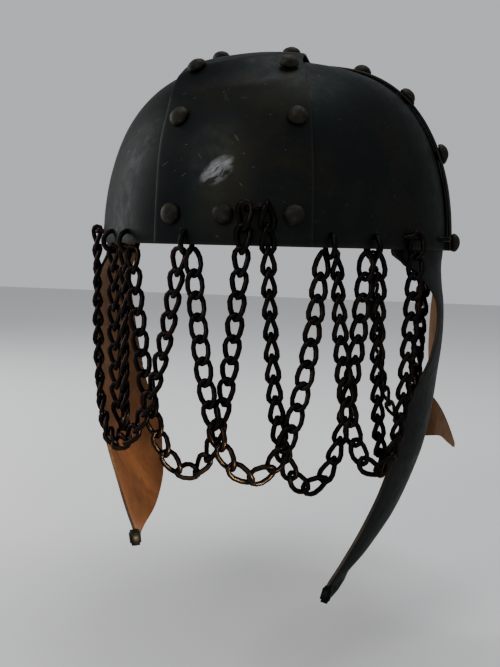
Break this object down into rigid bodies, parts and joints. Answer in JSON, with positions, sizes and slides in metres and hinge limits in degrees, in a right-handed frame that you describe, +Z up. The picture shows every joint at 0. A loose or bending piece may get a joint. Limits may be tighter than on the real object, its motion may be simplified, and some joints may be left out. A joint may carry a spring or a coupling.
{
  "type": "spangenhelm helmet",
  "caption": "Riveted sheet-metal dome helmet with broad crossing bands, long pointed cheek plates and a veil of curb chains hung in loops from the rim.",
  "frame": {"origin": "centre of the rim plane, where the helmet sits round the wearer's head", "axes": "+Z up through the crown, -Y out of the wearer's brow, +X to the wearer's left"},
  "size_m": [0.2092, 0.2398, 0.2777],
  "materials": {
    "blackened_plate": "satin, dark blackened sheet with warm sheen and scratches",
    "cheek_plate": "satin, blackened outside and copper-brown inside",
    "rivet_head": "rough, mottled brown",
    "chain_link": "satin, near black with warm glints"
  },
  "bodies": {
    "root": {"cheek_left": "cheek_plate", "cheek_right": "cheek_plate", "ear_band": "blackened_plate", "front_band": "blackened_plate", "panel_back_left": "blackened_plate", "panel_back_right": "blackened_plate", "panel_front_left": "blackened_plate", "panel_front_right": "blackened_plate", "ring_brow_left": "chain_link", "ring_brow_middle": "chain_link", "ring_brow_right": "chain_link", "ring_left_brow_far": "chain_link", "ring_left_corner": "chain_link", "ring_left_nape": "chain_link", "ring_left_rear": "chain_link", "ring_left_side": "chain_link", "ring_right_brow_far": "chain_link", "ring_right_brow_near": "chain_link", "ring_right_corner": "chain_link", "rivet_brow_high_left": "rivet_head", "rivet_brow_high_right": "rivet_head", "rivet_brow_low_left": "rivet_head", "rivet_brow_low_right": "rivet_head", "rivet_brow_middle": "rivet_head", "rivet_crown_left": "rivet_head", "rivet_crown_right": "rivet_head", "rivet_ear_high_aft_left": "rivet_head", "rivet_ear_high_aft_right": "rivet_head", "rivet_ear_high_fore_left": "rivet_head", "rivet_ear_high_fore_right": "rivet_head", "rivet_ear_low_aft_left": "rivet_head", "rivet_ear_low_aft_right": "rivet_head", "rivet_ear_low_fore_left": "rivet_head", "rivet_ear_low_fore_right": "rivet_head", "rivet_ear_middle_aft_left": "rivet_head", "rivet_ear_middle_aft_right": "rivet_head", "rivet_ear_middle_fore_left": "rivet_head", "rivet_ear_middle_fore_right": "rivet_head", "rivet_ear_top_left": "rivet_head", "rivet_ear_top_right": "rivet_head", "rivet_fore_left": "rivet_head", "rivet_fore_right": "rivet_head", "rivet_hind_left": "rivet_head", "rivet_hind_right": "rivet_head", "rivet_nape_high_left": "rivet_head", "rivet_nape_high_right": "rivet_head", "rivet_nape_low_left": "rivet_head", "rivet_nape_low_right": "rivet_head", "rivet_nape_middle": "rivet_head", "swag_1": "chain_link", "swag_2": "chain_link", "swag_3": "chain_link", "swag_4": "chain_link", "swag_5": "chain_link", "swag_6": "chain_link", "swag_7": "chain_link", "swag_8": "chain_link"}
  },
  "joints": []
}
